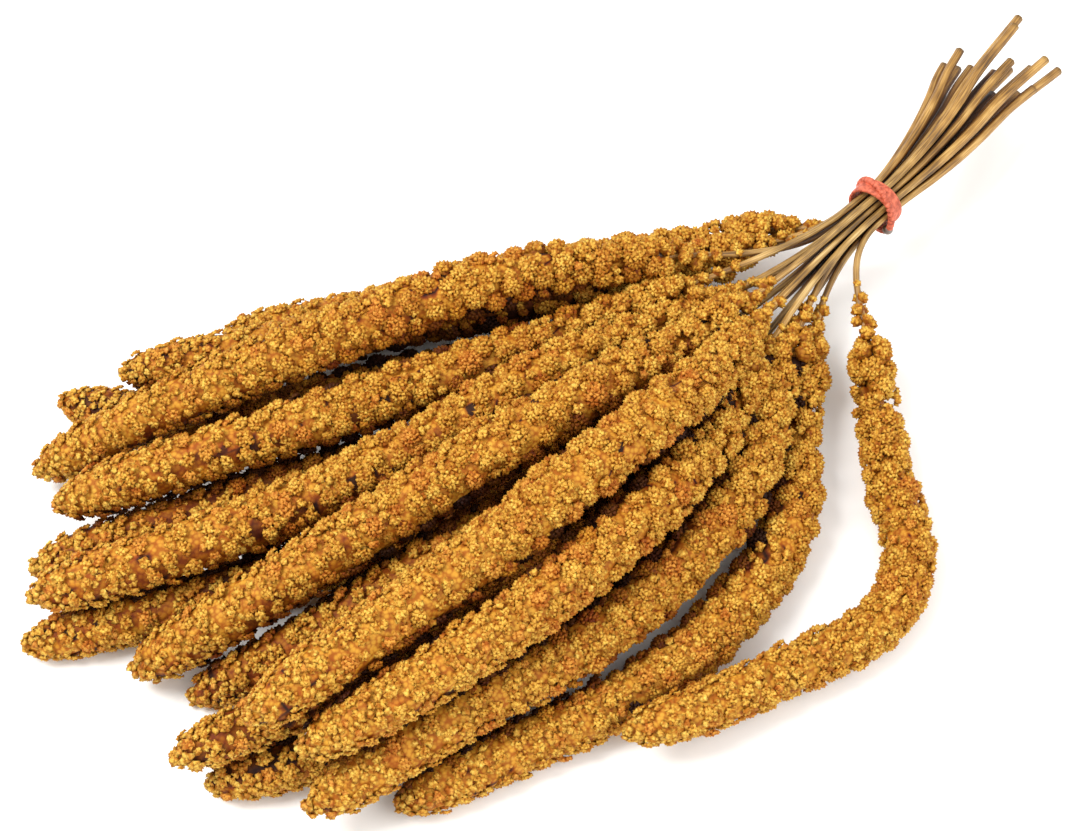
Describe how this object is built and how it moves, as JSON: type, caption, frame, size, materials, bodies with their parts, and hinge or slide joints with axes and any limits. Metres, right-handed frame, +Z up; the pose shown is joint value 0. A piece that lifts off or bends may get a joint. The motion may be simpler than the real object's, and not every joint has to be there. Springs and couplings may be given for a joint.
{
  "type": "millet seed head bunch",
  "caption": "Bunch of dried foxtail millet: dense golden seed heads fan out from thin straw stems held by a red elastic tie, lying flat.",
  "frame": {"origin": "middle of the bunch's box, at the surface that it lies on", "axes": "+X from the seed heads' tips towards the cut ends of the stems, +Z up from the surface"},
  "size_m": [0.5298, 0.3002, 0.0826],
  "materials": {
    "straw": "matte dry straw",
    "millet_seed": "matte seed husks",
    "red_elastic": "matte rubber"
  },
  "bodies": {
    "root": {"stem_01": "straw", "stem_02": "straw", "stem_03": "straw", "stem_04": "straw", "stem_05": "straw", "stem_06": "straw", "stem_07": "straw", "stem_08": "straw", "stem_09": "straw", "stem_10": "straw", "stem_11": "straw", "stem_12": "straw", "stem_13": "straw", "stem_14": "straw", "stem_15": "straw", "stem_16": "straw", "stem_17": "straw", "head_01": "millet_seed", "head_02": "millet_seed", "head_03": "millet_seed", "head_04": "millet_seed", "head_05": "millet_seed", "head_06": "millet_seed", "head_07": "millet_seed", "head_08": "millet_seed", "head_09": "millet_seed", "head_10": "millet_seed", "head_11": "millet_seed", "head_12": "millet_seed", "head_13": "millet_seed", "head_14": "millet_seed", "head_15": "millet_seed", "head_16": "millet_seed", "head_17": "millet_seed", "tie": "red_elastic"}
  },
  "joints": []
}
